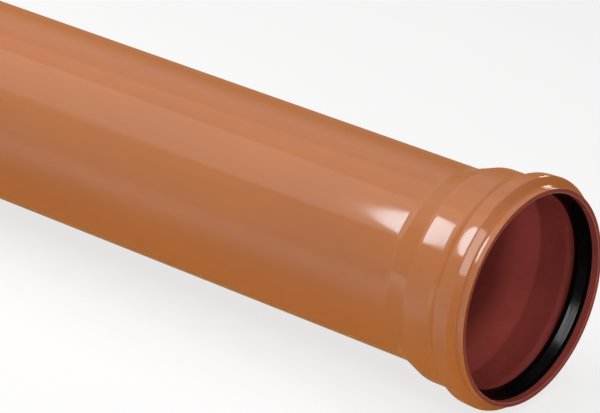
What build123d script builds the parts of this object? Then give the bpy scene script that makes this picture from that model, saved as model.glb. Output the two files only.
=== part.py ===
"""A belled sewer pipe of hard PVC with a rubber lip seal in its socket.

The pipe lies on its side with its axis along X and the mouth of the socket towards +X.
The origin is on the floor under the middle of its length. Millimetres and degrees, +Z up.
"""

import math
import os

from build123d import *

# Barrel, an extruded tube. The laying length runs from the spigot's end to the socket's root.
outside_diameter = 315.0
wall = 7.7
laying_length = 2000.0

# Bevel on the spigot's end, which slides under the lip of the next seal
bevel_length = 12.0
bevel_angle = 15.0

# Socket. It is formed hot over a mandrel, so its sizes are inside ones, and the outside
# lies one wall further out. Each bend is the radius on the tight side of the wall.
socket_play = 8.7
socket_depth = 112.0
root_bend = 14.0
flare_angle = 19.5
flare_bend = 79.0
mouth_bevel = 1.0

# Ring groove, blown out of the socket's wall behind a short collar
collar_depth = 19.0
collar_bend = 2.5
groove_depth = 13.0
groove_floor = 14.0
groove_front_angle = 52.0
groove_front_bend = 2.0
groove_back_angle = 36.0
groove_back_bend = 5.0
groove_end_bend = 3.0

# Lip seal. The toe lies on the collar, the heel on the groove's floor, and the lip points
# towards the root, with a notch above it to bend into. Its land takes the next pipe's spigot.
seal_clearance = 0.2
toe_depth = 12.3
toe_thickness = 0.9
knee_length = 3.2
knee_drop = 1.6
heel_length = 10.0
heel_height = 6.5
heel_bevel = 1.5
notch_depth = 6.0
notch_height = 1.6
notch_flat = 1.2
lip_depth = 41.0
lip_thickness = 4.2
land_length = 4.0

outside_radius = outside_diameter / 2
bore_radius = outside_radius - wall
socket_radius = outside_radius + socket_play
floor_radius = socket_radius + groove_depth
axis_height = floor_radius + wall
overall_length = socket_depth + laying_length
mouth_x = overall_length / 2

# In this plane a point is (depth behind the mouth, distance from the axis).
section = Plane(origin=(mouth_x, 0, axis_height), x_dir=(-1, 0, 0), z_dir=(0, 1, 0))
pipe_axis = Axis((mouth_x, 0, axis_height), (-1, 0, 0))


def run_for(rise, angle):
    """The length along the axis in which a slope of the angle rises or falls by the rise."""
    return rise / math.tan(math.radians(angle))


def normals_of(corners):
    """The unit vector square to each run of an outline, away from the axis."""
    runs = [end - start for start, end in zip(corners, corners[1:])]
    return [Vector(-run.Y, run.X).normalized() for run in runs]


def shifted(corners, distance):
    """The outline moved away from the axis by the distance, square to each run, with mitred corners."""
    normals = normals_of(corners)
    moved = [corners[0] + normals[0] * distance]
    for corner, before, after in zip(corners[1:-1], normals, normals[1:]):
        moved.append(corner + (before + after) * (distance / (1 + before.dot(after))))
    moved.append(corners[-1] + normals[-1] * distance)
    return moved


def bend_radii(corners, bends, distance):
    """The bend at each inner corner of an outline, and the same bend seen at the distance outside it."""
    normals = normals_of(corners)
    inside, outside = [], []
    for bend, before, after in zip(bends, normals, normals[1:]):
        turns_outwards = before.cross(after).Z > 0
        inside.append(bend + distance if turns_outwards else bend)
        outside.append(bend if turns_outwards else bend + distance)
    return inside, outside


def cut_off(before, corner, after, length):
    """The two points that take a corner's place when it is cut off at the length along both its runs."""
    back = (before - corner).normalized()
    ahead = (after - corner).normalized()
    return [corner + back * length, corner + ahead * length]


def turned(outline):
    """The solid that a closed outline makes when it is turned about the pipe's axis."""
    return revolve(section * make_face(outline), axis=pipe_axis)


def groove_corners():
    """The four corners of the ring groove on the socket's inside, from the collar to the root."""
    front_end = collar_depth + run_for(groove_depth, groove_front_angle)
    floor_end = front_end + groove_floor
    back_end = floor_end + run_for(groove_depth, groove_back_angle)
    return [
        Vector(collar_depth, socket_radius),
        Vector(front_end, floor_radius),
        Vector(floor_end, floor_radius),
        Vector(back_end, socket_radius),
    ]


def make_pipe():
    """The pipe as one wall: collar, ring groove, socket, flare, barrel and bevelled spigot."""
    flare_end = socket_depth + run_for(socket_radius - bore_radius, flare_angle)
    inside = [
        Vector(0, socket_radius),
        *groove_corners(),
        Vector(socket_depth, socket_radius),
        Vector(flare_end, bore_radius),
        Vector(overall_length, bore_radius),
    ]
    bends = [
        collar_bend,
        groove_front_bend,
        groove_back_bend,
        groove_end_bend,
        root_bend,
        flare_bend,
    ]
    outside = shifted(inside, wall)
    inside_radii, outside_radii = bend_radii(inside, bends, wall)

    mouth = cut_off(outside[0], inside[0], inside[1], mouth_bevel)
    mouth_outside = cut_off(outside[1], outside[0], inside[0], mouth_bevel)
    bevel_rise = bevel_length * math.tan(math.radians(bevel_angle))
    spigot = [
        inside[-1],
        outside[-1] - Vector(0, bevel_rise),
        outside[-1] - Vector(bevel_length, 0),
    ]
    corners = [*mouth, *inside[1:-1], *spigot, *outside[-2:0:-1], *mouth_outside]
    radii = [0] * len(mouth) + inside_radii + [0] * len(spigot) + outside_radii[::-1] + [0] * len(mouth_outside)
    return turned(FilletPolyline(*corners, radius=radii, close=True))


def make_seal_ring():
    """The rubber ring: toe on the collar, head in the groove, and a lip behind a notch."""
    seat = shifted([Vector(0, socket_radius), *groove_corners()], -seal_clearance)
    seat_front, seat_back = seat[1:3]
    seat_bevel = groove_front_bend * math.tan(math.radians(groove_front_angle) / 2)

    toe = Vector(toe_depth, seat_front.Y)
    toe_edge = toe - Vector(0, toe_thickness)
    heel = Vector(seat_back.X + heel_length, seat_back.Y)
    heel_foot = heel - Vector(0, heel_height)
    lip_tip = Vector(lip_depth, outside_radius)
    lip_back = lip_tip + Vector(0, lip_thickness)
    notch = Vector(heel_foot.X - notch_depth, lip_back.Y + notch_height)
    land_start = lip_tip - Vector(land_length, 0)
    knee = toe_edge + Vector(knee_length, -knee_drop)

    corners = [
        toe_edge,
        toe,
        seat_front,
        *cut_off(seat_front, seat_back, heel, seat_bevel),
        *cut_off(seat_back, heel, heel_foot, heel_bevel),
        heel_foot,
        *cut_off(heel_foot, notch, lip_back, notch_flat),
        lip_back,
        lip_tip,
        land_start,
        knee,
    ]
    return turned(Polyline(*corners, close=True))


os.makedirs("parts", exist_ok=True)
for name, shape in {"pipe": make_pipe(), "seal_ring": make_seal_ring()}.items():
    shape.label = name
    export_step(shape, f"parts/{name}.step")
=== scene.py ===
"""The looks of a belled sewer pipe with a rubber lip seal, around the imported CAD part.

Lengths are in metres in the CAD's frame: X runs along the pipe's axis with the mouth of the
socket towards +X, Z is up, and the origin is on the floor under the middle of the pipe. An
outline's point is (depth behind the mouth, distance from the pipe's axis).
"""

import logging
import math
from dataclasses import dataclass, field, replace
from enum import Enum

import bpy
from mathutils import Matrix, Vector


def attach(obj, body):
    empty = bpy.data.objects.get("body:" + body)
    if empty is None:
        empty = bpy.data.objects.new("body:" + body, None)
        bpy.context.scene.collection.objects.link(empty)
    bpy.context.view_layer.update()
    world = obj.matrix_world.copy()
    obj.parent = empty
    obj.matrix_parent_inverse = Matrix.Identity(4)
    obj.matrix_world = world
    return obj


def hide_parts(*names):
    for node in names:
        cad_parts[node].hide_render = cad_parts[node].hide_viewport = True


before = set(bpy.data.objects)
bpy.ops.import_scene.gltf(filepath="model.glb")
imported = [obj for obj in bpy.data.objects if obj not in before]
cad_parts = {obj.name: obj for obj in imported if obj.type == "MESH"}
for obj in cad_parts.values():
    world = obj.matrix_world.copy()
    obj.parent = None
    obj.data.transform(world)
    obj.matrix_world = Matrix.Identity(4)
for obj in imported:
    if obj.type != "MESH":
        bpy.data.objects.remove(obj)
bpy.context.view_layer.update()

log = logging.getLogger("pipe")

MM = 0.001
BODY = "root"
PIPE_WALL = "pipe_wall"
LIP_SEAL = "lip_seal"

# Modelling: sides of a turned ring, the gap from a bend to the loop that holds it, the turn that
# one facet of a bend may take, the bevel profile that is round, the angle past which an edge
# stays sharp, and the distance within which two vertices are one.
RING_SIDES = 192
HOLD_GAP = 0.6 * MM
FACET_TURN = math.radians(4.5)
ROUND_PROFILE = 0.5
SHARP_ANGLE = math.radians(35)
WELD_GAP = 0.01 * MM

# Telling the pipe's faces apart: how much along X a normal of the mouth's flat end points at
# least, and how much away from the axis a normal of the bore points at most.
MOUTH_END_SQUARE = 0.98
BORE_OUTWARDS = -0.5

# Noise: the range that nearly all of it lies in, and the weight of each finer octave.
NOISE_LOW = 0.3
NOISE_HIGH = 0.7
OCTAVE_WEIGHT = 0.55

# Socket numbers of a Mix node that mixes colours: share, first and second colour, and result.
MIX_SHARE = 0
MIX_FIRST = 6
MIX_SECOND = 7
MIX_RESULT = 2

# The strength at which what shines by itself looks white, and the share of its bounding
# rectangle that an ellipse fills.
WHITE = 1.0
ELLIPSE_SHARE = math.pi / 4


class PipeSlot(Enum):
    """Material slots on the pipe's mesh, in their order."""

    SKIN = 0
    CORE = 1
    CUT = 2
    # The mouth's inner edge, coloured paler as a painted highlight.
    SCRAPED = 3


class LampForm(Enum):
    """Forms of a lamp's face, by the words of its shape setting."""

    RECTANGLE = "RECTANGLE"
    ELLIPSE = "ELLIPSE"


class LampUse(Enum):
    """What a lamp is hung for."""

    MATT = "lights matt surfaces and makes no highlight"
    GLOSS = "makes highlights and lights nothing matt"


class FadeAxis(Enum):
    """Axes along which a cloth can thin out, by their numbers."""

    Y = 1
    Z = 2


def linear(hex_colour: str) -> tuple[float, float, float, float]:
    """Turns an sRGB hex colour into linear light, by the standard's own curve.

    Args:
        hex_colour: Six hex digits after a hash sign.

    Returns:
        Red, green, blue and an alpha of 1.
    """
    channels = []
    for start in (1, 3, 5):
        value = int(hex_colour[start:start + 2], 16) / 255
        channels.append(value / 12.92 if value <= 0.04045 else ((value + 0.055) / 1.055) ** 2.4)
    return channels[0], channels[1], channels[2], 1.0


def set_up(
    data: bpy.types.Camera | bpy.types.Light, place: Vector, axes: tuple[Vector, Vector, Vector]
) -> bpy.types.Object:
    """Puts a camera or a lamp in the scene.

    Args:
        data: The camera or the lamp.
        place: Where it is.
        axes: Its own X, Y and Z axis, of which Z points away from what it looks or shines at.

    Returns:
        Its object.
    """
    item = bpy.data.objects.new(data.name, data)
    item.matrix_world = Matrix.Translation(place) @ Matrix(axes).transposed().to_4x4()
    bpy.context.scene.collection.objects.link(item)
    return item


def add_node(
    tree: bpy.types.NodeTree,
    kind: str,
    values: dict[int | str, object] | None = None,
    links: dict[int | str, bpy.types.NodeSocket] | None = None,
    **settings: object,
) -> bpy.types.Node:
    """Adds one shader node with its settings, values and links.

    Args:
        tree: The node tree that gets the node.
        kind: The node's type name.
        values: Values of input sockets, by socket name or number.
        links: Output sockets to link in, by input socket name or number.
        **settings: Properties of the node itself.

    Returns:
        The new node.
    """
    node = tree.nodes.new(kind)
    for name, value in settings.items():
        setattr(node, name, value)
    for name, value in (values or {}).items():
        node.inputs[name].default_value = value
    for name, source in (links or {}).items():
        tree.links.new(source, node.inputs[name])
    return node


def new_material(name: str) -> tuple[bpy.types.Material, bpy.types.NodeTree]:
    """Makes a material with an empty node tree.

    Args:
        name: The material's name.

    Returns:
        The material and its node tree.
    """
    material = bpy.data.materials.new(name)
    material.use_nodes = True
    material.node_tree.nodes.clear()
    return material, material.node_tree


def streaks(
    tree: bpy.types.NodeTree,
    along: float,
    across: float,
    detail: float = 2.0,
    start: tuple[float, float, float] = (0.0, 0.0, 0.0),
) -> bpy.types.NodeSocket:
    """Adds noise whose spots are long one way, on Object coordinates.

    Args:
        tree: The node tree.
        along: Length of a spot along the pipe's axis, in metres.
        across: Length of a spot square to the axis, in metres.
        detail: Octaves of finer noise.
        start: Where the pattern starts, so that two patterns differ.

    Returns:
        The noise's factor, about 0.5 in the mean.
    """
    place = add_node(tree, "ShaderNodeTexCoord")
    mapping = add_node(
        tree,
        "ShaderNodeMapping",
        values={"Location": start, "Scale": (1 / along, 1 / across, 1 / across)},
        links={"Vector": place.outputs["Object"]},
    )
    noise = add_node(
        tree,
        "ShaderNodeTexNoise",
        values={"Scale": 1.0, "Detail": detail, "Roughness": OCTAVE_WEIGHT},
        links={"Vector": mapping.outputs["Vector"]},
    )
    return noise.outputs["Fac"]


def noise_to(low: float, high: float) -> dict[str, float]:
    """Gives the values that turn the range of noise into a range from low to high."""
    return {"From Min": NOISE_LOW, "From Max": NOISE_HIGH, "To Min": low, "To Max": high}


def mottled(
    tree: bpy.types.NodeTree,
    noise: bpy.types.NodeSocket,
    low_colour: str,
    high_colour: str,
) -> bpy.types.NodeSocket:
    """Mixes two colours by a noise.

    Args:
        tree: The node tree.
        noise: The noise's factor.
        low_colour: Hex colour where the noise is low.
        high_colour: Hex colour where the noise is high.

    Returns:
        The mixed colour.
    """
    share = add_node(
        tree, "ShaderNodeMapRange", values=noise_to(0.0, 1.0), links={"Value": noise}
    )
    tint = add_node(
        tree,
        "ShaderNodeMix",
        data_type="RGBA",
        values={MIX_FIRST: linear(low_colour), MIX_SECOND: linear(high_colour)},
        links={MIX_SHARE: share.outputs["Result"]},
    )
    return tint.outputs[MIX_RESULT]


def add_surface(
    tree: bpy.types.NodeTree,
    values: dict[str, object],
    links: dict[str, bpy.types.NodeSocket],
    relief: bpy.types.NodeSocket | None = None,
    relief_depth: float = 0.0,
) -> None:
    """Ends a material with its shader, which follows a relief where one is given.

    Args:
        tree: The material's node tree.
        values: The shader's values, by socket name.
        links: What is linked into the shader, by socket name.
        relief: The relief's height, from 0 to 1.
        relief_depth: How deep the relief is, in metres.
    """
    if relief is not None:
        bump = add_node(
            tree, "ShaderNodeBump", values={"Distance": relief_depth}, links={"Height": relief}
        )
        links = {**links, "Normal": bump.outputs["Normal"]}
    shader = add_node(tree, "ShaderNodeBsdfPrincipled", values=values, links=links)
    add_node(tree, "ShaderNodeOutputMaterial", links={"Surface": shader.outputs["BSDF"]})


@dataclass(frozen=True)
class ExtrudedPvcSkin:
    """Outer skin of hard PVC, drawn hot through a polished sizing sleeve.

    What it gives the eye: an even orange-brown under a clear gloss, with sharp reflections that
    faint die lines along the pipe roughen a little. Real die lines lie about 0.5 mm apart. They
    are drawn 3 mm apart, because finer ones don't show at this distance.
    """

    warm_colour: str = "#B66A32"
    dull_colour: str = "#AE6533"
    ior: float = 1.54
    smooth: float = 0.065
    dull: float = 0.1
    cloud_length: float = 420 * MM
    cloud_width: float = 140 * MM
    die_line_length: float = 900 * MM
    die_line_gap: float = 3.0 * MM
    die_line_depth: float = 0.006 * MM
    smear_length: float = 120 * MM
    smear_width: float = 25 * MM

    def material(self) -> bpy.types.Material:
        """Builds the skin's material.

        Returns:
            The material.
        """
        material, tree = new_material("extruded_pvc_skin")
        clouds = streaks(tree, self.cloud_length, self.cloud_width)
        lines = streaks(tree, self.die_line_length, self.die_line_gap, detail=3.0)
        smears = streaks(
            tree, self.smear_length, self.smear_width, detail=4.0, start=(3.0, 1.0, 7.0)
        )
        roughness = add_node(
            tree,
            "ShaderNodeMapRange",
            values=noise_to(self.smooth, self.dull),
            links={"Value": smears},
        )
        add_surface(
            tree,
            values={"IOR": self.ior},
            links={
                "Base Color": mottled(tree, clouds, self.warm_colour, self.dull_colour),
                "Roughness": roughness.outputs["Result"],
            },
            relief=lines,
            relief_depth=self.die_line_depth,
        )
        return material


@dataclass(frozen=True)
class ExtrudedPvcCore:
    """Core of hard PVC as the bore shows it, drawn over the die's mandrel and cooled in air.

    What it gives the eye: a deep maroon, duller than the skin, with soft clouds and faint lines
    along the bore. The lines are drawn 4 mm apart, coarser than the real ones, so that they show.
    """

    deep_colour: str = "#94403A"
    pale_colour: str = "#9C463E"
    ior: float = 1.54
    gloss: float = 0.07
    smooth: float = 0.24
    dull: float = 0.32
    cloud_length: float = 90 * MM
    cloud_width: float = 60 * MM
    die_line_length: float = 600 * MM
    die_line_gap: float = 4.0 * MM
    die_line_depth: float = 0.01 * MM

    def material(self) -> bpy.types.Material:
        """Builds the core's material.

        Returns:
            The material.
        """
        material, tree = new_material("extruded_pvc_core")
        lines = streaks(tree, self.die_line_length, self.die_line_gap, detail=3.0)
        clouds = streaks(tree, self.cloud_length, self.cloud_width, start=(1.0, 5.0, 2.0))
        roughness = add_node(
            tree,
            "ShaderNodeMapRange",
            values=noise_to(self.smooth, self.dull),
            links={"Value": clouds},
        )
        add_surface(
            tree,
            values={"IOR": self.ior, "Specular IOR Level": self.gloss},
            links={
                "Base Color": mottled(tree, clouds, self.deep_colour, self.pale_colour),
                "Roughness": roughness.outputs["Result"],
            },
            relief=lines,
            relief_depth=self.die_line_depth,
        )
        return material


@dataclass(frozen=True)
class TurnedPvcEdge:
    """Core of hard PVC where a tool cut it: the mouth's end face and the spigot's bevel.

    What it gives the eye: a maroon darker than the core's, dull and a little uneven, with rings
    that the cutter left round the axis. They are drawn 0.8 mm apart, coarser than the real ones,
    so that they show.
    """

    axis_z: float
    deep_colour: str = "#76322A"
    pale_colour: str = "#823D34"
    ior: float = 1.54
    gloss: float = 0.2
    smooth: float = 0.38
    dull: float = 0.52
    ring_gap: float = 0.8 * MM
    ring_depth: float = 0.02 * MM
    speck_size: float = 1.5 * MM

    def material(self) -> bpy.types.Material:
        """Builds the cut edge's material.

        Returns:
            The material.
        """
        material, tree = new_material("turned_pvc_edge")
        place = add_node(tree, "ShaderNodeTexCoord")
        from_axis = add_node(
            tree,
            "ShaderNodeMapping",
            values={"Location": (0.0, 0.0, -self.axis_z), "Scale": (0.0, 1.0, 1.0)},
            links={"Vector": place.outputs["Object"]},
        )
        distance = add_node(
            tree,
            "ShaderNodeVectorMath",
            operation="LENGTH",
            links={0: from_axis.outputs["Vector"]},
        )
        rings = add_node(
            tree,
            "ShaderNodeTexNoise",
            noise_dimensions="1D",
            values={"Scale": 1 / self.ring_gap, "Detail": 2.0},
            links={"W": distance.outputs["Value"]},
        )
        specks = streaks(tree, self.speck_size, self.speck_size, detail=3.0, start=(2.0, 2.0, 2.0))
        roughness = add_node(
            tree,
            "ShaderNodeMapRange",
            values=noise_to(self.smooth, self.dull),
            links={"Value": rings.outputs["Fac"]},
        )
        add_surface(
            tree,
            values={"IOR": self.ior, "Specular IOR Level": self.gloss},
            links={
                "Base Color": mottled(tree, specks, self.deep_colour, self.pale_colour),
                "Roughness": roughness.outputs["Result"],
            },
            relief=rings.outputs["Fac"],
            relief_depth=self.ring_depth,
        )
        return material


@dataclass(frozen=True)
class PaintedEdgeHighlight:
    """Hard PVC on the mouth's bevelled inner edge, coloured paler as a painted highlight along
    that edge.

    What it gives the eye: a thin pinkish line, a painted highlight, paler than the end face and
    the bore that it lies between. Noise spots along it, 6 mm apart, make it a little uneven.
    """

    # Colours of the painted highlight along the mouth's inner edge.
    pale_colour: str = "#A96C5D"
    deep_colour: str = "#90544A"
    ior: float = 1.54
    roughness: float = 0.35
    nick_gap: float = 6 * MM

    def material(self) -> bpy.types.Material:
        """Builds the material of the painted edge highlight.

        Returns:
            The material.
        """
        material, tree = new_material("scraped_pvc_edge")
        nicks = streaks(tree, self.nick_gap, self.nick_gap, detail=3.0, start=(4.0, 1.0, 6.0))
        add_surface(
            tree,
            values={"IOR": self.ior, "Roughness": self.roughness},
            links={"Base Color": mottled(tree, nicks, self.pale_colour, self.deep_colour)},
        )
        return material


@dataclass(frozen=True)
class MouldedSealRubber:
    """Black synthetic rubber, moulded in a turned steel ring mould and wiped with grease.

    What it gives the eye: nearly pure black with a soft grey sheen where a lamp strikes, broken
    into fine streaks round the ring, the marks of the mould's turning tool. Those lie about
    0.3 mm apart. They are drawn 2.6 mm apart, so that they show.
    """

    colour: str = "#060505"
    ior: float = 1.52
    gloss: float = 0.03
    smooth: float = 0.07
    dull: float = 0.34
    streak_gap: float = 2.6 * MM
    streak_length: float = 90 * MM
    streak_depth: float = 0.07 * MM

    def material(self) -> bpy.types.Material:
        """Builds the rubber's material.

        Returns:
            The material.
        """
        material, tree = new_material("moulded_seal_rubber")
        marks = streaks(tree, self.streak_gap, self.streak_length, detail=3.0)
        roughness = add_node(
            tree,
            "ShaderNodeMapRange",
            values=noise_to(self.smooth, self.dull),
            links={"Value": marks},
        )
        add_surface(
            tree,
            values={
                "Base Color": linear(self.colour),
                "IOR": self.ior,
                "Specular IOR Level": self.gloss,
            },
            links={"Roughness": roughness.outputs["Result"]},
            relief=marks,
            relief_depth=self.streak_depth,
        )
        return material


@dataclass(frozen=True)
class Corner:
    """One corner of a closed outline that is turned about the pipe's axis.

    Attributes:
        depth: Distance behind the mouth.
        radius: Distance from the axis.
        bend: Radius of the bend that rounds the corner, 0 for a sharp one.
    """

    depth: float
    radius: float
    bend: float = 0.0

    @property
    def point(self) -> Vector:
        """The corner as a point of the outline's plane."""
        return Vector((self.depth, self.radius))


@dataclass
class TurnedWall:
    """A closed outline turned about the pipe's axis, as one mesh of rings.

    Attributes:
        name: The piece's name.
        corners: The outline's corners, in order.
        mouth_x: Where depth 0 is along X.
        axis_z: The axis' height.
    """

    name: str
    corners: list[Corner]
    mouth_x: float
    axis_z: float

    def turn(self, index: int) -> float:
        """Gives the angle by which the outline turns at a corner, always positive.

        Args:
            index: The corner's number.

        Returns:
            The angle.
        """
        corner = self.corners[index].point
        arriving = corner - self.corners[index - 1].point
        leaving = self.corners[(index + 1) % len(self.corners)].point - corner
        return arriving.angle(leaving)

    def tangent(self, index: int) -> float:
        """Gives the length that the bend at a corner takes of each run beside it.

        Args:
            index: The corner's number.

        Returns:
            The length from the corner to where the bend starts.
        """
        return self.corners[index].bend * math.tan(self.turn(index) / 2)

    def rings(self) -> list[Corner]:
        """Lists the corners, and a holding ring beside each bend where the run has room.

        Returns:
            The rings in order. The ones between corners have no bend.
        """
        rings = []
        for index, corner in enumerate(self.corners):
            rings.append(corner)
            ahead = (index + 1) % len(self.corners)
            run = self.corners[ahead].point - corner.point
            first = self.tangent(index) + HOLD_GAP
            last = run.length - self.tangent(ahead) - HOLD_GAP
            if last - first < HOLD_GAP:
                continue
            for length in (first, last):
                place = corner.point + run.normalized() * length
                rings.append(Corner(place.x, place.y))
        return rings

    def build(self) -> bpy.types.Object:
        """Draws a circle, extrudes it ring by ring round the outline, and rounds the bends.

        Returns:
            The finished object, at the origin with its place in its mesh.
        """
        rings = self.rings()
        bpy.ops.object.select_all(action="DESELECT")
        bpy.ops.mesh.primitive_circle_add(
            vertices=RING_SIDES,
            radius=rings[0].radius,
            fill_type="NOTHING",
            location=(self.mouth_x - rings[0].depth, 0, self.axis_z),
            rotation=(0, math.pi / 2, 0),
        )
        piece = bpy.context.object
        piece.name = piece.data.name = self.name
        bpy.ops.object.transform_apply(location=True, rotation=True, scale=True)
        bpy.ops.object.mode_set(mode="EDIT")
        bpy.ops.mesh.select_mode(type="EDGE")
        bpy.ops.mesh.select_all(action="SELECT")
        for before, ring in zip(rings, rings[1:] + rings[:1]):
            grown = ring.radius / before.radius
            bpy.ops.mesh.extrude_region_move(
                TRANSFORM_OT_translate={"value": (before.depth - ring.depth, 0, 0)}
            )
            bpy.ops.transform.resize(
                value=(1, grown, grown),
                center_override=(self.mouth_x - ring.depth, 0, self.axis_z),
            )
        bpy.ops.mesh.select_all(action="SELECT")
        bpy.ops.mesh.remove_doubles(threshold=WELD_GAP)
        bpy.ops.mesh.normals_make_consistent(inside=False)
        for index, corner in enumerate(self.corners):
            if corner.bend:
                self.round_ring(piece, index)
        bpy.ops.mesh.select_all(action="SELECT")
        bpy.ops.mesh.normals_make_consistent(inside=False)
        bpy.ops.mesh.select_all(action="DESELECT")
        bpy.ops.object.mode_set(mode="OBJECT")
        bpy.ops.object.shade_smooth_by_angle(angle=SHARP_ANGLE)
        return piece

    def round_ring(self, piece: bpy.types.Object, index: int) -> None:
        """Bevels the ring of edges at a corner to the corner's bend.

        Args:
            piece: The turned mesh, in edit mode.
            index: The corner's number.
        """
        self.select_ring(piece, self.corners[index])
        facets_a_side = max(1, math.ceil(self.turn(index) / 2 / FACET_TURN))
        bpy.ops.mesh.bevel(
            offset_type="OFFSET",
            offset=self.tangent(index),
            segments=2 * facets_a_side,
            profile=ROUND_PROFILE,
            affect="EDGES",
            clamp_overlap=False,
        )

    def select_ring(self, piece: bpy.types.Object, corner: Corner) -> None:
        """Selects the edges of the ring at a corner, and nothing else.

        Args:
            piece: The turned mesh, in edit mode before and after.
            corner: Where the ring is.
        """
        bpy.ops.mesh.select_all(action="DESELECT")
        bpy.ops.object.mode_set(mode="OBJECT")
        mesh = piece.data
        at_ring = {v.index for v in mesh.vertices if self.is_at(v.co, corner)}
        for edge in mesh.edges:
            edge.select = set(edge.vertices) <= at_ring
        bpy.ops.object.mode_set(mode="EDIT")

    def is_at(self, place: Vector, corner: Corner) -> bool:
        """Tells whether a vertex lies on the ring at a corner.

        Args:
            place: The vertex' place.
            corner: Where the ring is.

        Returns:
            True where it does.
        """
        depth = self.mouth_x - place.x
        radius = math.hypot(place.y, place.z - self.axis_z)
        return abs(depth - corner.depth) < WELD_GAP and abs(radius - corner.radius) < WELD_GAP

    def outwards(self, face: bpy.types.MeshPolygon) -> float:
        """Gives how much a face's normal points away from the axis, from -1 to 1."""
        arm = Vector((0, face.center.y, face.center.z - self.axis_z)).normalized()
        return face.normal.dot(arm)


@dataclass
class Pipe:
    """The pipe: collar, ring groove, socket, flare, barrel and bevelled spigot in one wall."""

    # Barrel and bevelled spigot
    outside_radius: float = 157.5 * MM
    wall: float = 7.7 * MM
    laying_length: float = 2000 * MM
    spigot_bevel: float = 12 * MM
    spigot_angle: float = math.radians(15)

    # Socket and flare. A bend is the radius on the tight side of the wall.
    socket_play: float = 8.7 * MM
    socket_depth: float = 112 * MM
    root_bend: float = 14 * MM
    flare_angle: float = math.radians(19.5)
    flare_bend: float = 79 * MM
    flare_outside_bend: float = 42 * MM

    # Collar and ring groove, on the inside
    collar_depth: float = 19 * MM
    collar_bend: float = 2.5 * MM
    groove_depth: float = 13 * MM
    groove_floor: float = 14 * MM
    groove_front_angle: float = math.radians(52)
    groove_front_bend: float = 2.0 * MM
    groove_back_angle: float = math.radians(36)
    groove_back_bend: float = 5.0 * MM
    groove_end_bend: float = 3.0 * MM
    groove_end_outside_bend: float = 26.0 * MM

    # The small bevel on the mouth's inner edge, which carries the painted highlight
    scrape_width: float = 1.1 * MM
    scrape_depth: float = 0.4 * MM
    scrape_round: float = 0.2 * MM

    # The outside of the lip and the bead: corners and the radii that round them
    lip_edge: tuple[float, float] = (0.0, 173.9 * MM)
    lip_edge_round: float = 1.4 * MM
    lip_top: tuple[float, float] = (6.6 * MM, 174.36 * MM)
    lip_top_round: float = 63.0 * MM
    valley: tuple[float, float] = (15.0 * MM, 173.55 * MM)
    valley_round: float = 1.5 * MM
    crest_front: tuple[float, float] = (22.75 * MM, 186.95 * MM)
    crest_front_round: float = 2.9 * MM
    crest_top: tuple[float, float] = (33.7 * MM, 186.77 * MM)
    crest_top_round: float = 296 * MM
    crest_back: tuple[float, float] = (47.3 * MM, 185.7 * MM)
    crest_back_round: float = 12.7 * MM

    skin: ExtrudedPvcSkin = field(default_factory=ExtrudedPvcSkin)
    core: ExtrudedPvcCore = field(default_factory=ExtrudedPvcCore)
    edge_highlight: PaintedEdgeHighlight = field(default_factory=PaintedEdgeHighlight)

    @property
    def socket_radius(self) -> float:
        """The radius of the socket's inside."""
        return self.outside_radius + self.socket_play

    @property
    def floor_radius(self) -> float:
        """The radius of the groove's floor."""
        return self.socket_radius + self.groove_depth

    @property
    def axis_z(self) -> float:
        """The axis' height, with the widest part of the wall on the floor."""
        return self.floor_radius + self.wall

    @property
    def length(self) -> float:
        """The length over all."""
        return self.socket_depth + self.laying_length

    @property
    def mouth_x(self) -> float:
        """Where the mouth is along X."""
        return self.length / 2

    def inside(self) -> list[Corner]:
        """Lists the corners of the wall's inside.

        Returns:
            The corners from the mouth to the spigot's end.
        """
        bore = self.outside_radius - self.wall
        front_end = self.collar_depth + self.groove_depth / math.tan(self.groove_front_angle)
        floor_end = front_end + self.groove_floor
        back_end = floor_end + self.groove_depth / math.tan(self.groove_back_angle)
        flare_end = self.socket_depth + (self.socket_radius - bore) / math.tan(self.flare_angle)
        return [
            Corner(0, self.socket_radius + self.scrape_width),
            Corner(self.scrape_depth, self.socket_radius, self.scrape_round),
            Corner(self.collar_depth, self.socket_radius, self.collar_bend),
            Corner(front_end, self.floor_radius, self.groove_front_bend),
            Corner(floor_end, self.floor_radius, self.groove_back_bend),
            Corner(back_end, self.socket_radius, self.groove_end_bend),
            Corner(self.socket_depth, self.socket_radius, self.root_bend),
            Corner(flare_end, bore, self.flare_bend),
            Corner(self.length, bore),
        ]

    def outline(self) -> list[Corner]:
        """Closes the wall's outline: the inside, the spigot's end and the outside to the mouth.

        From the spigot to the groove's end the outside lies one wall outside the inside. There
        two of its bends have radii of their own: a tight one at the flare's small end and a wide
        one behind the bead. The bead over the groove and the lip in front of it have the shape
        that hot forming leaves: a slightly arched crest, a tight valley and a thin lip.

        Returns:
            The outline's corners. A bend of the inside is as stated where it is on the tight side
            of the wall, and one wall larger on the other.
        """
        inside = self.inside()
        normals = []
        for start, end in zip(inside, inside[1:]):
            run = (end.point - start.point).normalized()
            normals.append(Vector((-run.y, run.x)))
        inner = inside[:2]
        outer = []
        for corner, before, after in zip(inside[2:-1], normals[1:], normals[2:]):
            turns_outwards = before.cross(after) > 0
            tight, loose = corner.bend, corner.bend + self.wall
            inner.append(replace(corner, bend=loose if turns_outwards else tight))
            place = corner.point + (before + after) * (self.wall / (1 + before.dot(after)))
            outer.append(Corner(place.x, place.y, tight if turns_outwards else loose))
        groove_end, root, flare_end = outer[-3:]
        rise = self.spigot_bevel * math.tan(self.spigot_angle)
        return [
            *inner,
            inside[-1],
            Corner(self.length, self.outside_radius - rise),
            Corner(self.length - self.spigot_bevel, self.outside_radius),
            replace(flare_end, bend=self.flare_outside_bend),
            root,
            replace(groove_end, bend=self.groove_end_outside_bend),
            Corner(*self.crest_back, self.crest_back_round),
            Corner(*self.crest_top, self.crest_top_round),
            Corner(*self.crest_front, self.crest_front_round),
            Corner(*self.valley, self.valley_round),
            Corner(*self.lip_top, self.lip_top_round),
            Corner(*self.lip_edge, self.lip_edge_round),
        ]

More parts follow.
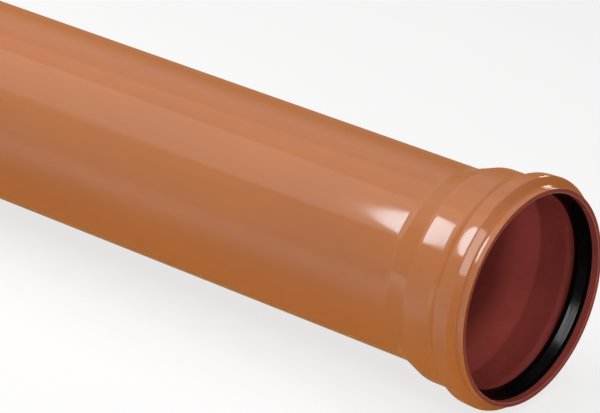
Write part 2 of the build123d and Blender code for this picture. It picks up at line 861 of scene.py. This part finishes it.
    def build(self) -> bpy.types.Object:
        """Models the pipe, dresses it and puts it in the frame.

        Returns:
            The pipe's object.
        """
        wall = TurnedWall(PIPE_WALL, self.outline(), self.mouth_x, self.axis_z)
        piece = wall.build()
        self.dress(piece, wall)
        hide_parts("pipe")
        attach(piece, BODY)
        return piece

    def dress(self, piece: bpy.types.Object, wall: TurnedWall) -> None:
        """Gives each face of the wall its finish.

        Args:
            piece: The pipe's object.
            wall: The turned wall that made it.
        """
        finishes = {
            PipeSlot.SKIN: self.skin,
            PipeSlot.CORE: self.core,
            PipeSlot.CUT: TurnedPvcEdge(self.axis_z),
            PipeSlot.SCRAPED: self.edge_highlight,
        }
        for slot in PipeSlot:
            piece.data.materials.append(finishes[slot].material())
        for face in piece.data.polygons:
            face.material_index = self.slot_of(face, wall.outwards(face)).value

    def slot_of(self, face: bpy.types.MeshPolygon, outwards: float) -> PipeSlot:
        """Tells which finish a face of the wall has.

        Args:
            face: The face.
            outwards: How much its normal points away from the axis.

        Returns:
            The slot of its finish.
        """
        depth = self.mouth_x - face.center.x
        is_at_bevel = depth > self.length - self.spigot_bevel
        if is_at_bevel and outwards > BORE_OUTWARDS or face.normal.x > MOUTH_END_SQUARE:
            return PipeSlot.CUT
        if outwards > 0:
            return PipeSlot.SKIN
        # Faces of the inner edge's bevel get a pale colour: a painted highlight.
        return PipeSlot.SCRAPED if depth < self.scrape_depth else PipeSlot.CORE


@dataclass
class SealRing:
    """The lip seal: toe on the collar, head in the groove, and a lip behind a notch.

    Attributes:
        mouth_x: Where the pipe's mouth is along X.
        axis_z: The height of the pipe's axis.
    """

    mouth_x: float
    axis_z: float
    toe: tuple[float, float] = (12.3 * MM, 166.0 * MM)
    toe_edge: tuple[float, float] = (12.3 * MM, 165.1 * MM)
    seat_front: tuple[float, float] = (19.1 * MM, 166.0 * MM)
    seat_back: tuple[float, float] = (29.25 * MM, 179.0 * MM)
    heel: tuple[float, float] = (39.25 * MM, 179.0 * MM)
    heel_foot: tuple[float, float] = (39.25 * MM, 172.5 * MM)
    notch: tuple[float, float] = (33.25 * MM, 163.3 * MM)
    lip_back: tuple[float, float] = (41.0 * MM, 161.7 * MM)
    lip_tip: tuple[float, float] = (41.0 * MM, 157.5 * MM)
    land_start: tuple[float, float] = (33.0 * MM, 157.8 * MM)
    knee: tuple[float, float] = (18.5 * MM, 164.2 * MM)
    small_round: float = 0.35 * MM
    seat_round: float = 1.8 * MM
    soft_round: float = 1.0 * MM
    land_round: float = 4.0 * MM
    knee_round: float = 3.0 * MM
    rubber: MouldedSealRubber = field(default_factory=MouldedSealRubber)

    def outline(self) -> list[Corner]:
        """Lists the corners of the ring's section, with the small radii of a mould.

        Returns:
            The corners in order.
        """
        return [
            Corner(*self.toe_edge, self.small_round),
            Corner(*self.toe, self.small_round),
            Corner(*self.seat_front, self.soft_round),
            Corner(*self.seat_back, self.seat_round),
            Corner(*self.heel, self.seat_round),
            Corner(*self.heel_foot, self.soft_round),
            Corner(*self.notch, self.soft_round),
            Corner(*self.lip_back, self.soft_round),
            Corner(*self.lip_tip, self.soft_round),
            Corner(*self.land_start, self.land_round),
            Corner(*self.knee, self.knee_round),
        ]

    def build(self) -> bpy.types.Object:
        """Models the ring, dresses it and puts it in the frame.

        Returns:
            The ring's object.
        """
        piece = TurnedWall(LIP_SEAL, self.outline(), self.mouth_x, self.axis_z).build()
        piece.data.materials.append(self.rubber.material())
        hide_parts("seal_ring")
        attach(piece, BODY)
        return piece


@dataclass(frozen=True)
class Softbox:
    """A lamp with an evenly bright, flat face.

    Attributes:
        name: The lamp's name.
        use: What it is hung for.
        centre: Where its middle is.
        shines: The direction that it shines in.
        size: The lengths of its two sides.
        glow: Its radiance, where 1 is white.
        side: The direction of its first side, along the pipe where none is given.
        form: The form of its face.
        colour: Its colour.
        only_on: The pieces that it lights, or none where it lights all.
    """

    name: str
    use: LampUse
    centre: tuple[float, float, float]
    shines: tuple[float, float, float]
    size: tuple[float, float]
    glow: float
    side: tuple[float, float, float] = (1.0, 0.0, 0.0)
    form: LampForm = LampForm.RECTANGLE
    colour: str = "#FFFFFF"
    only_on: tuple[str, ...] = ()

    def build(self) -> bpy.types.Object:
        """Hangs the lamp. Its energy is pi times its radiance for each square metre of its face.

        Returns:
            The lamp's object.
        """
        data = bpy.data.lights.new(self.name, "AREA")
        data.shape = self.form.value
        data.size, data.size_y = self.size
        share = ELLIPSE_SHARE if self.form is LampForm.ELLIPSE else 1
        data.energy = self.glow * math.pi * self.size[0] * self.size[1] * share
        data.color = linear(self.colour)[:3]
        back = -Vector(self.shines).normalized()
        side = Vector(self.side)
        side = (side - back * side.dot(back)).normalized()
        lamp = set_up(data, Vector(self.centre), (side, back.cross(side), back))
        lamp.visible_camera = False
        lamp.visible_diffuse = self.use is LampUse.MATT
        lamp.visible_glossy = self.use is LampUse.GLOSS
        if self.only_on:
            lit = bpy.data.collections.new(f"lit_by_{self.name}")
            for piece in self.only_on:
                lit.objects.link(bpy.data.objects[piece])
            lamp.light_linking.receiver_collection = lit
        return lamp


@dataclass(frozen=True)
class SnootedLamp:
    """A lamp with a narrow tube in front, so that its round beam falls into the mouth alone.

    Attributes:
        name: The lamp's name.
        centre: Where it is.
        target: What it points at.
        beam_radius: The beam's radius at the target.
        soft_rim_share: The share of the beam in which its light dies away.
        level: How bright it makes a white surface that faces it at the target, where 1 is white.
        lamp_radius: The radius of the lamp itself.
    """

    name: str
    centre: tuple[float, float, float]
    target: tuple[float, float, float]
    beam_radius: float
    soft_rim_share: float
    level: float
    lamp_radius: float

    def build(self) -> bpy.types.Object:
        """Hangs the lamp. Its energy is that of a whole sphere, and the tube lets out a beam.

        Returns:
            The lamp's object.
        """
        throw = Vector(self.target) - Vector(self.centre)
        data = bpy.data.lights.new(self.name, "SPOT")
        data.spot_size = 2 * math.atan(self.beam_radius / throw.length)
        data.spot_blend = self.soft_rim_share
        data.shadow_soft_size = self.lamp_radius
        sphere = 4 * math.pi * throw.length ** 2
        data.energy = self.level * math.pi * sphere
        facing = throw.to_track_quat("-Z", "Y").to_matrix()
        lamp = set_up(data, Vector(self.centre), tuple(facing.col))
        lamp.visible_camera = False
        lamp.visible_glossy = False
        return lamp


@dataclass(frozen=True)
class GlowingFlag:
    """A sheet that glows by itself in its own colour and shows only in reflections, thinning out
    like gauze towards one side.

    It keeps the white floor and walls out of the pipe's gloss and puts a painted reflection of its
    colour there instead. Matt light passes it, and so does the camera.

    Attributes:
        name: The flag's name.
        low: Its lowest corner.
        high: Its highest corner. The two share the coordinate that the cloth lies square to.
        fades_along: The axis along which it thins out.
        clear_at: Where along that axis it is gone.
        dense_at: Where along that axis it is at full density.
        colour: The colour that it glows with, which the pipe's gloss shows as a painted
            reflection.
    """

    name: str
    low: tuple[float, float, float]
    high: tuple[float, float, float]
    fades_along: FadeAxis
    clear_at: float
    dense_at: float
    colour: str

    def build(self) -> bpy.types.Object:
        """Hangs the flag.

        Returns:
            The flag's object.
        """
        low, high = Vector(self.low), Vector(self.high)
        span = high - low
        tilt = (math.pi / 2 if span.y == 0 else 0, math.pi / 2 if span.x == 0 else 0, 0)
        bpy.ops.object.select_all(action="DESELECT")
        bpy.ops.mesh.primitive_plane_add(size=1, rotation=tilt)
        sheet = bpy.context.object
        sheet.name = self.name
        bpy.ops.object.transform_apply(location=True, rotation=True, scale=True)
        bpy.ops.object.mode_set(mode="EDIT")
        bpy.ops.transform.resize(
            value=[length or 1 for length in span], center_override=(0, 0, 0)
        )
        bpy.ops.transform.translate(value=(low + high) / 2)
        bpy.ops.object.mode_set(mode="OBJECT")
        sheet.data.materials.append(self.material())
        sheet.visible_camera = False
        sheet.visible_diffuse = False
        sheet.visible_transmission = False
        sheet.visible_shadow = False
        return sheet

    def material(self) -> bpy.types.Material:
        """Builds the flag's material, which glows in its own colour and takes no light.

        Returns:
            The material.
        """
        material, tree = new_material(f"{self.name}_gauze")
        place = add_node(tree, "ShaderNodeTexCoord")
        parts = add_node(tree, "ShaderNodeSeparateXYZ", links={0: place.outputs["Object"]})
        density = add_node(
            tree,
            "ShaderNodeMapRange",
            interpolation_type="SMOOTHSTEP",
            values={"From Min": self.clear_at, "From Max": self.dense_at},
            links={"Value": parts.outputs[self.fades_along.value]},
        )
        gaps = add_node(tree, "ShaderNodeBsdfTransparent")
        # Painted reflection: an emission in the flag's colour stands in for a lit cloth.
        painted_glow = add_node(tree, "ShaderNodeEmission", values={"Color": linear(self.colour)})
        gauze = add_node(
            tree,
            "ShaderNodeMixShader",
            links={0: density.outputs["Result"], 1: gaps.outputs[0], 2: painted_glow.outputs[0]},
        )
        add_node(tree, "ShaderNodeOutputMaterial", links={"Surface": gauze.outputs[0]})
        return material


@dataclass
class Studio:
    """The camera at the photograph's angle, the lamps, the world and the pale floor.

    Attributes:
        mouth: The centre of the pipe's mouth, by which camera and lamps are set up.
        azimuth: How far the camera's view is turned from the Y axis, towards the spigot.
        elevation: How far it looks down.
        lens_mm: The camera's focal length, over a sensor 36 mm wide.
        clip_near: The nearest distance that the camera shows.
        clip_far: The farthest distance that it shows.
        mouth_right: How far the mouth lies to the right of the camera's own axis.
        mouth_below: How far it lies below that axis.
        mouth_ahead: How far it lies in front of the camera.
        floor_size: The length of the floor's sides.
        floor_colour: The floor's colour as matt light shows it.
        floor_white_share: The share of plain white in what the camera and gloss see of the floor.
        flag_lift: How high a flag hangs off the floor.
        world_matt: The strength of the world's light on matt surfaces, where 1 is white.
        stand: Where the two lamps hang that shine straight into the mouth.
    """

    mouth: tuple[float, float, float]
    azimuth: float = math.radians(40.533)
    elevation: float = math.radians(25.88)
    lens_mm: float = 212.79
    clip_near: float = 0.1
    clip_far: float = 200.0
    mouth_right: float = 0.35332
    mouth_below: float = 0.13917
    mouth_ahead: float = 5.36480
    floor_size: float = 80.0
    floor_colour: str = "#F4F4F3"
    floor_white_share: float = 0.74
    flag_lift: float = 2 * MM
    world_matt: float = 0.1
    stand: tuple[float, float, float] = (3.432, -0.24, 0.427)

    def build(self) -> None:
        """Builds everything that isn't part of the object."""
        self.place_camera()
        self.lay_floor()
        for flag in self.flags():
            flag.build()
        self.light_world()
        for lamp in self.lamps():
            lamp.build()
        bpy.context.scene.view_settings.view_transform = "Standard"

    def place_camera(self) -> None:
        """Puts the camera where the mouth lies at its place in the picture."""
        turn, dip = self.azimuth, self.elevation
        right = Vector((math.cos(turn), math.sin(turn), 0))
        ahead = Vector(
            (-math.sin(turn) * math.cos(dip), math.cos(turn) * math.cos(dip), -math.sin(dip))
        )
        down = ahead.cross(right)
        arm = right * self.mouth_right + down * self.mouth_below + ahead * self.mouth_ahead
        data = bpy.data.cameras.new("camera")
        data.lens = self.lens_mm
        data.clip_start = self.clip_near
        data.clip_end = self.clip_far
        axes = (right, -down, -ahead)
        bpy.context.scene.camera = set_up(data, Vector(self.mouth) - arm, axes)

    def lay_floor(self) -> None:
        """Lays a pale matt floor that looks nearly white and keeps the pipe's shadow."""
        bpy.ops.object.select_all(action="DESELECT")
        bpy.ops.mesh.primitive_plane_add(size=self.floor_size)
        floor = bpy.context.object
        floor.name = "studio_floor"
        material, tree = new_material("matt_paper_floor")
        paper = add_node(
            tree, "ShaderNodeBsdfDiffuse", values={"Color": linear(self.floor_colour)}
        )
        white = add_node(tree, "ShaderNodeEmission", values={"Strength": WHITE})
        share = add_node(
            tree,
            "ShaderNodeMath",
            operation="MULTIPLY",
            values={1: self.floor_white_share},
            links={0: self.seen_directly(tree)},
        )
        both = add_node(
            tree,
            "ShaderNodeMixShader",
            links={0: share.outputs[0], 1: paper.outputs[0], 2: white.outputs[0]},
        )
        add_node(tree, "ShaderNodeOutputMaterial", links={"Surface": both.outputs[0]})
        floor.data.materials.append(material)

    def light_world(self) -> None:
        """Makes a world that looks white and lights matt surfaces at a plain level."""
        world = bpy.data.worlds.new("white_studio")
        bpy.context.scene.world = world
        world.use_nodes = True
        tree = world.node_tree
        tree.nodes.clear()
        matt = add_node(tree, "ShaderNodeBackground", values={"Strength": self.world_matt})
        white = add_node(tree, "ShaderNodeBackground", values={"Strength": WHITE})
        both = add_node(
            tree,
            "ShaderNodeMixShader",
            links={0: self.seen_directly(tree), 1: matt.outputs[0], 2: white.outputs[0]},
        )
        add_node(tree, "ShaderNodeOutputWorld", links={"Surface": both.outputs[0]})

    def seen_directly(self, tree: bpy.types.NodeTree) -> bpy.types.NodeSocket:
        """Adds a switch that is 1 for camera, glossy and transmission rays.

        Args:
            tree: The node tree.

        Returns:
            The switch.
        """
        path = add_node(tree, "ShaderNodeLightPath")
        switch = path.outputs["Is Camera Ray"]
        for ray in ("Is Glossy Ray", "Is Transmission Ray"):
            either = add_node(
                tree,
                "ShaderNodeMath",
                operation="MAXIMUM",
                links={0: switch, 1: path.outputs[ray]},
            )
            switch = either.outputs[0]
        return switch

    def flags(self) -> list[GlowingFlag]:
        """Lists the glowing flags.

        Returns:
            One on the floor, one behind the pipe and one beyond its spigot.
        """
        return [
            # Each flag's colour is a painted reflection: the tone that the pipe's gloss shows
            # where it faces that flag.
            GlowingFlag(
                name="floor_flag",
                low=(-2.2, -0.75, self.flag_lift),
                high=(4.0, 0.85, self.flag_lift),
                fades_along=FadeAxis.Y,
                clear_at=-0.75,
                dense_at=-0.1,
                colour="#AC7947",
            ),
            GlowingFlag(
                name="rear_flag",
                low=(-2.2, 0.85, self.flag_lift),
                high=(4.0, 0.85, 1.2),
                fades_along=FadeAxis.Z,
                clear_at=1.2,
                dense_at=0.4,
                colour="#B98A6C",
            ),
            GlowingFlag(
                name="spigot_flag",
                low=(-1.65, -1.5, self.flag_lift),
                high=(-1.65, 1.5, 1.8),
                fades_along=FadeAxis.Z,
                clear_at=1.8,
                dense_at=1.1,
                colour="#CDBBB0",
            ),
        ]

    def lamps(self) -> list[Softbox | SnootedLamp]:
        """Lists the lamps.

        Returns:
            Matt light and two sheens from a ceiling over the barrel, matt light from the side
            and from below, four lamps that light the inside, the key box whose highlight runs
            over barrel, socket and bead, three boxes for smaller gleams, and a narrow beam.
        """
        return [
            Softbox(
                name="ceiling",
                centre=(-1.08, -0.25, 1.85),
                shines=(0, 0, -1),
                size=(4.66, 2.5),
                glow=1.8,
                use=LampUse.MATT,
            ),
            Softbox(
                name="ceiling_sheen",
                centre=(-0.8, -0.86, 1.86),
                shines=(0, 0, -1),
                side=(0.998, -0.06, 0),
                size=(5.4, 1.7),
                glow=0.5,
                use=LampUse.GLOSS,
            ),
            Softbox(
                name="rear_sheen",
                centre=(-0.7, -0.5, 1.87),
                shines=(0, 0, -1),
                side=(0.985, 0.17, 0),
                size=(4.8, 2.5),
                glow=0.25,
                use=LampUse.GLOSS,
            ),
            Softbox(
                name="side_fill",
                centre=(-1.2, -2.5, 1.05),
                shines=(0, 1, 0),
                size=(4.4, 1.9),
                glow=0.5,
                use=LampUse.MATT,
            ),
            Softbox(
                name="low_fill",
                centre=(-1.1, -0.27, 0.01),
                shines=(0, 0, 1),
                size=(4.5, 0.34),
                glow=0.26,
                use=LampUse.MATT,
            ),
            Softbox(
                name="bore_lamp",
                centre=(2.16, -1.99, 0.93),
                shines=(-0.46, 0.83, -0.31),
                side=(0.87, 0.48, 0),
                size=(0.35, 0.35),
                glow=18.5,
                use=LampUse.MATT,
            ),
            Softbox(
                name="steep_bore_lamp",
                centre=(2.252, 0.0, 2.268),
                shines=(-0.5, 0, -0.87),
                side=(0, 1, 0),
                size=(0.5, 0.5),
                glow=13.8,
                use=LampUse.MATT,
            ),
            Softbox(
                name="high_bore_lamp",
                centre=(2.744, -1.206, 1.393),
                shines=(-0.7, 0.5, -0.5),
                side=(0.5, 0.7, 0),
                size=(0.5, 0.5),
                glow=11.1,
                use=LampUse.MATT,
            ),
            Softbox(
                name="mouth_lamp",
                centre=self.stand,
                shines=(-0.99, 0.1, -0.1),
                side=(0.1, 0.99, 0),
                size=(0.6, 0.6),
                glow=5.8,
                use=LampUse.MATT,
                only_on=(PIPE_WALL, LIP_SEAL),
            ),
            Softbox(
                name="key_box",
                centre=(0.132, -0.683, 1.318),
                shines=(-0.181, 0.257, -0.949),
                side=(0.239, 0.948, 0.211),
                size=(0.74, 0.24),
                form=LampForm.ELLIPSE,
                glow=10.0,
                colour="#E3F6FF",
                use=LampUse.GLOSS,
            ),
            Softbox(
                name="seal_box",
                centre=(1.356, -0.76, 0.997),
                shines=(-0.25, 0.66, -0.71),
                side=(-0.05, 0.72, 0.69),
                size=(0.85, 0.22),
                glow=64.0,
                use=LampUse.GLOSS,
                only_on=(LIP_SEAL,),
            ),
            Softbox(
                name="end_box",
                centre=(2.76, 0.0, 0.57),
                shines=(-0.97, 0.0, -0.2),
                side=(0.16, -0.73, -0.66),
                size=(0.75, 0.4),
                glow=4.0,
                use=LampUse.GLOSS,
            ),
            Softbox(
                name="rear_box",
                centre=(0.99, 0.79, 0.63),
                shines=(0.05, -0.93, -0.33),
                size=(0.4, 0.15),
                glow=8.0,
                use=LampUse.GLOSS,
            ),
            SnootedLamp(
                name="bore_spot",
                centre=self.stand,
                target=self.mouth,
                beam_radius=0.171,
                soft_rim_share=0.1,
                level=0.21,
                lamp_radius=0.03,
            ),
        ]


def main() -> None:
    logging.basicConfig(level=logging.INFO, format="%(name)s: %(message)s")
    pipe = Pipe()
    for sub_assembly in (pipe, SealRing(pipe.mouth_x, pipe.axis_z)):
        piece = sub_assembly.build()
        log.info("%s: %d faces", piece.name, len(piece.data.polygons))
    Studio(mouth=(pipe.mouth_x, 0.0, pipe.axis_z)).build()
    log.info("studio built")


if __name__ == "__main__":
    main()
